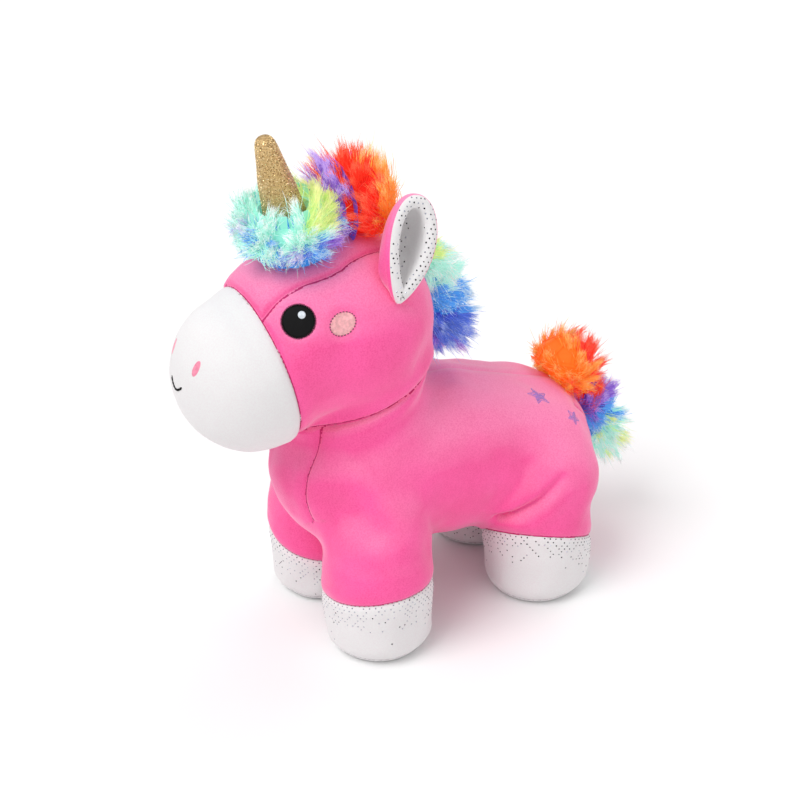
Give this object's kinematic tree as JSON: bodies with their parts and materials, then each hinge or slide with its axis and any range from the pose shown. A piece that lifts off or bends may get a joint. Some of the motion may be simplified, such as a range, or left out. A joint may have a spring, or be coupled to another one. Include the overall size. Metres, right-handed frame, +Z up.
{
  "type": "plush unicorn",
  "caption": "Standing plush unicorn with stuffed body, four hooves, cupped ears, glitter horn, rainbow fur mane and tail, and embroidered face.",
  "frame": {"origin": "on the floor under the middle of the toy's bounding box", "axes": "+Z up; the toy faces -Y; its left side is +X"},
  "size_m": [0.1188, 0.2612, 0.2785],
  "materials": {
    "pink_velour": "short velour pile, soft sheen",
    "white_velour": "short velour pile, soft sheen",
    "hoof_foil": "white velour with silver foil dots",
    "ear_foil": "white velour with silver foil dots",
    "gold_glitter": "gold glitter fabric",
    "stuffing": "polyester fibre",
    "aqua_fur": "long pile fur, mint to yellow and blue",
    "flame_fur": "long pile fur, red to orange",
    "blue_fur": "long pile fur, mint to blue and violet",
    "tail_fur": "long pile fur, orange through violet and blue to mint",
    "black_thread": "satin stitch",
    "white_thread": "satin stitch",
    "blush_thread": "satin stitch",
    "rose_thread": "satin stitch",
    "violet_thread": "satin stitch"
  },
  "bodies": {
    "torso": {"torso_stuffing": "stuffing", "belly_gusset": "pink_velour", "side_panel_left": "pink_velour", "side_panel_right": "pink_velour", "hip_star_large": "violet_thread", "hip_star_small": "violet_thread"},
    "head": {"head_stuffing": "stuffing", "muzzle": "white_velour", "forehead_gusset": "pink_velour", "head_panel_left": "pink_velour", "head_panel_right": "pink_velour", "eye_left": "black_thread", "eye_highlight_left": "white_thread", "cheek_left": "blush_thread", "nostril_left": "rose_thread", "eye_right": "black_thread", "eye_highlight_right": "white_thread", "cheek_right": "blush_thread", "nostril_right": "rose_thread", "smile": "black_thread", "forelock": "aqua_fur", "mane_front": "flame_fur", "mane_back": "blue_fur"},
    "horn": {"horn_skin": "gold_glitter", "horn_stuffing": "stuffing"},
    "tail": {"tail": "tail_fur"},
    "ear_left": {"ear_outer_left": "pink_velour", "ear_lining_left": "ear_foil"},
    "ear_right": {"ear_outer_right": "pink_velour", "ear_lining_right": "ear_foil"},
    "leg_front_left": {"leg_stuffing_front_left": "stuffing", "leg_skin_front_left": "pink_velour", "hoof_front_left": "hoof_foil", "sole_front_left": "hoof_foil"},
    "leg_front_right": {"leg_stuffing_front_right": "stuffing", "leg_skin_front_right": "pink_velour", "hoof_front_right": "hoof_foil", "sole_front_right": "hoof_foil"},
    "leg_hind_left": {"leg_stuffing_hind_left": "stuffing", "leg_skin_hind_left": "pink_velour", "hoof_hind_left": "hoof_foil", "sole_hind_left": "hoof_foil"},
    "leg_hind_right": {"leg_stuffing_hind_right": "stuffing", "leg_skin_hind_right": "pink_velour", "hoof_hind_right": "hoof_foil", "sole_hind_right": "hoof_foil"}
  },
  "joints": [
    {"name": "head_nod", "type": "hinge", "parent": "torso", "child": "head", "pos_m": [0, -0.0306, 0.111], "axis": [1, 0, 0], "range_deg": [-12, 10], "stiffness_Nm_per_rad": 0.8},
    {"name": "ear_left_flop", "type": "hinge", "parent": "head", "child": "ear_left", "pos_m": [0.035, -0.0271, 0.195], "axis": [-0.6092, -0.2297, 0.759], "range_deg": [-30, 4], "stiffness_Nm_per_rad": 0.03},
    {"name": "ear_right_flop", "type": "hinge", "parent": "head", "child": "ear_right", "pos_m": [-0.035, -0.0271, 0.195], "axis": [-0.6092, 0.2297, -0.759], "range_deg": [-30, 4], "stiffness_Nm_per_rad": 0.03},
    {"name": "horn_flex", "type": "hinge", "parent": "head", "child": "horn", "pos_m": [0, -0.0646, 0.215], "axis": [1, 0, 0], "range_deg": [-8, 8], "stiffness_Nm_per_rad": 0.08},
    {"name": "tail_lift", "type": "hinge", "parent": "torso", "child": "tail", "pos_m": [0, 0.0734, 0.102], "axis": [1, 0, 0], "range_deg": [-3, 25], "stiffness_Nm_per_rad": 0.1},
    {"name": "leg_front_left_swing", "type": "hinge", "parent": "torso", "child": "leg_front_left", "pos_m": [0.031, -0.0431, 0.048], "axis": [1, 0, 0], "range_deg": [-13, 13], "stiffness_Nm_per_rad": 0.6},
    {"name": "leg_front_right_swing", "type": "hinge", "parent": "torso", "child": "leg_front_right", "pos_m": [-0.031, -0.0431, 0.048], "axis": [1, 0, 0], "range_deg": [-13, 13], "stiffness_Nm_per_rad": 0.6},
    {"name": "leg_hind_left_swing", "type": "hinge", "parent": "torso", "child": "leg_hind_left", "pos_m": [0.031, 0.0539, 0.048], "axis": [1, 0, 0], "range_deg": [-13, 13], "stiffness_Nm_per_rad": 0.6},
    {"name": "leg_hind_right_swing", "type": "hinge", "parent": "torso", "child": "leg_hind_right", "pos_m": [-0.031, 0.0539, 0.048], "axis": [1, 0, 0], "range_deg": [-13, 13], "stiffness_Nm_per_rad": 0.6}
  ]
}
